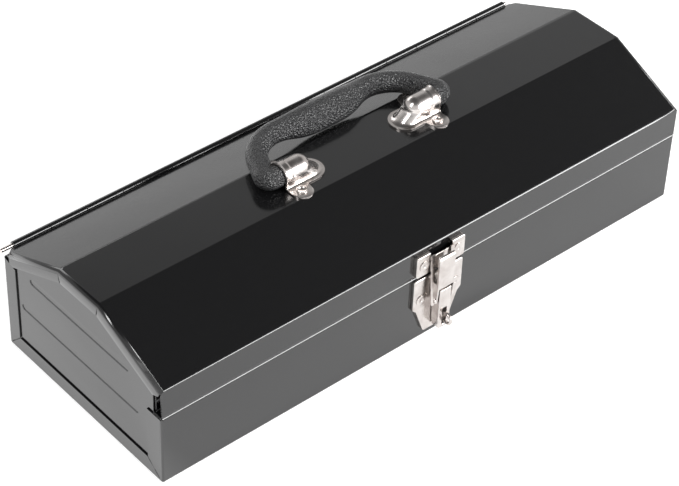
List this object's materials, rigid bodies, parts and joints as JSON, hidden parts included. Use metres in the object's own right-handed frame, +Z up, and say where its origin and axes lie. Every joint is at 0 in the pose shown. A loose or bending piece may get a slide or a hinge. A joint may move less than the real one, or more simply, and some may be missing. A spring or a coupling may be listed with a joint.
{
  "type": "hip roof toolbox",
  "caption": "Black sheet steel hip roof toolbox with a hinged lid, a folding bail handle and a lever draw latch with a padlock staple.",
  "frame": {"origin": "centre of the bottom of the box, on the surface it stands on", "axes": "+X along the length of the box, towards its right end seen from the front; -Y towards the front with the latch; +Z up"},
  "size_m": [0.4068, 0.1693, 0.1103],
  "materials": {
    "black_paint": "gloss black enamel on sheet steel",
    "nickel_plate": "bright nickel plate on pressed steel",
    "steel_wire": "drawn steel wire",
    "black_plastic": "moulded black plastic with leather grain"
  },
  "bodies": {
    "base": {"base_shell": "black_paint", "end_panel_left": "black_paint", "end_panel_right": "black_paint", "hinge_leaf_base": "black_paint", "hinge_wire": "steel_wire", "latch_base_plate": "nickel_plate", "latch_plate_rivets": "nickel_plate", "padlock_staple": "nickel_plate", "lever_pin": "nickel_plate"},
    "lid": {"lid_shell": "black_paint", "hinge_leaf_lid": "black_paint", "handle_bracket_left": "nickel_plate", "handle_bracket_right": "nickel_plate", "bracket_rivets_left": "nickel_plate", "bracket_rivets_right": "nickel_plate", "latch_keeper": "nickel_plate", "keeper_rivets": "nickel_plate"},
    "handle": {"carrying_handle": "black_plastic"},
    "lever": {"latch_lever": "nickel_plate", "link_pin": "nickel_plate"},
    "link": {"latch_link": "nickel_plate"}
  },
  "joints": [
    {"name": "lid_hinge", "type": "hinge", "parent": "base", "child": "lid", "pos_m": [0, 0.07655, 0.0698], "axis": [-1, 0, 0], "range_deg": [0, 105]},
    {"name": "handle_swing", "type": "hinge", "parent": "lid", "child": "handle", "pos_m": [0, 0, 0.1023], "axis": [1, 0, 0], "range_deg": [0, 185]},
    {"name": "lever_pivot", "type": "hinge", "parent": "base", "child": "lever", "pos_m": [0, -0.0809, 0.0372], "axis": [-1, 0, 0], "range_deg": [0, 85]},
    {"name": "link_pivot", "type": "hinge", "parent": "lever", "child": "link", "pos_m": [0, -0.0803, 0.031], "axis": [1, 0, 0], "range_deg": [0, 74]}
  ],
  "couplings": [
    {"joint": "link_pivot", "follows": "lever_pivot", "ratio": 0.86}
  ]
}
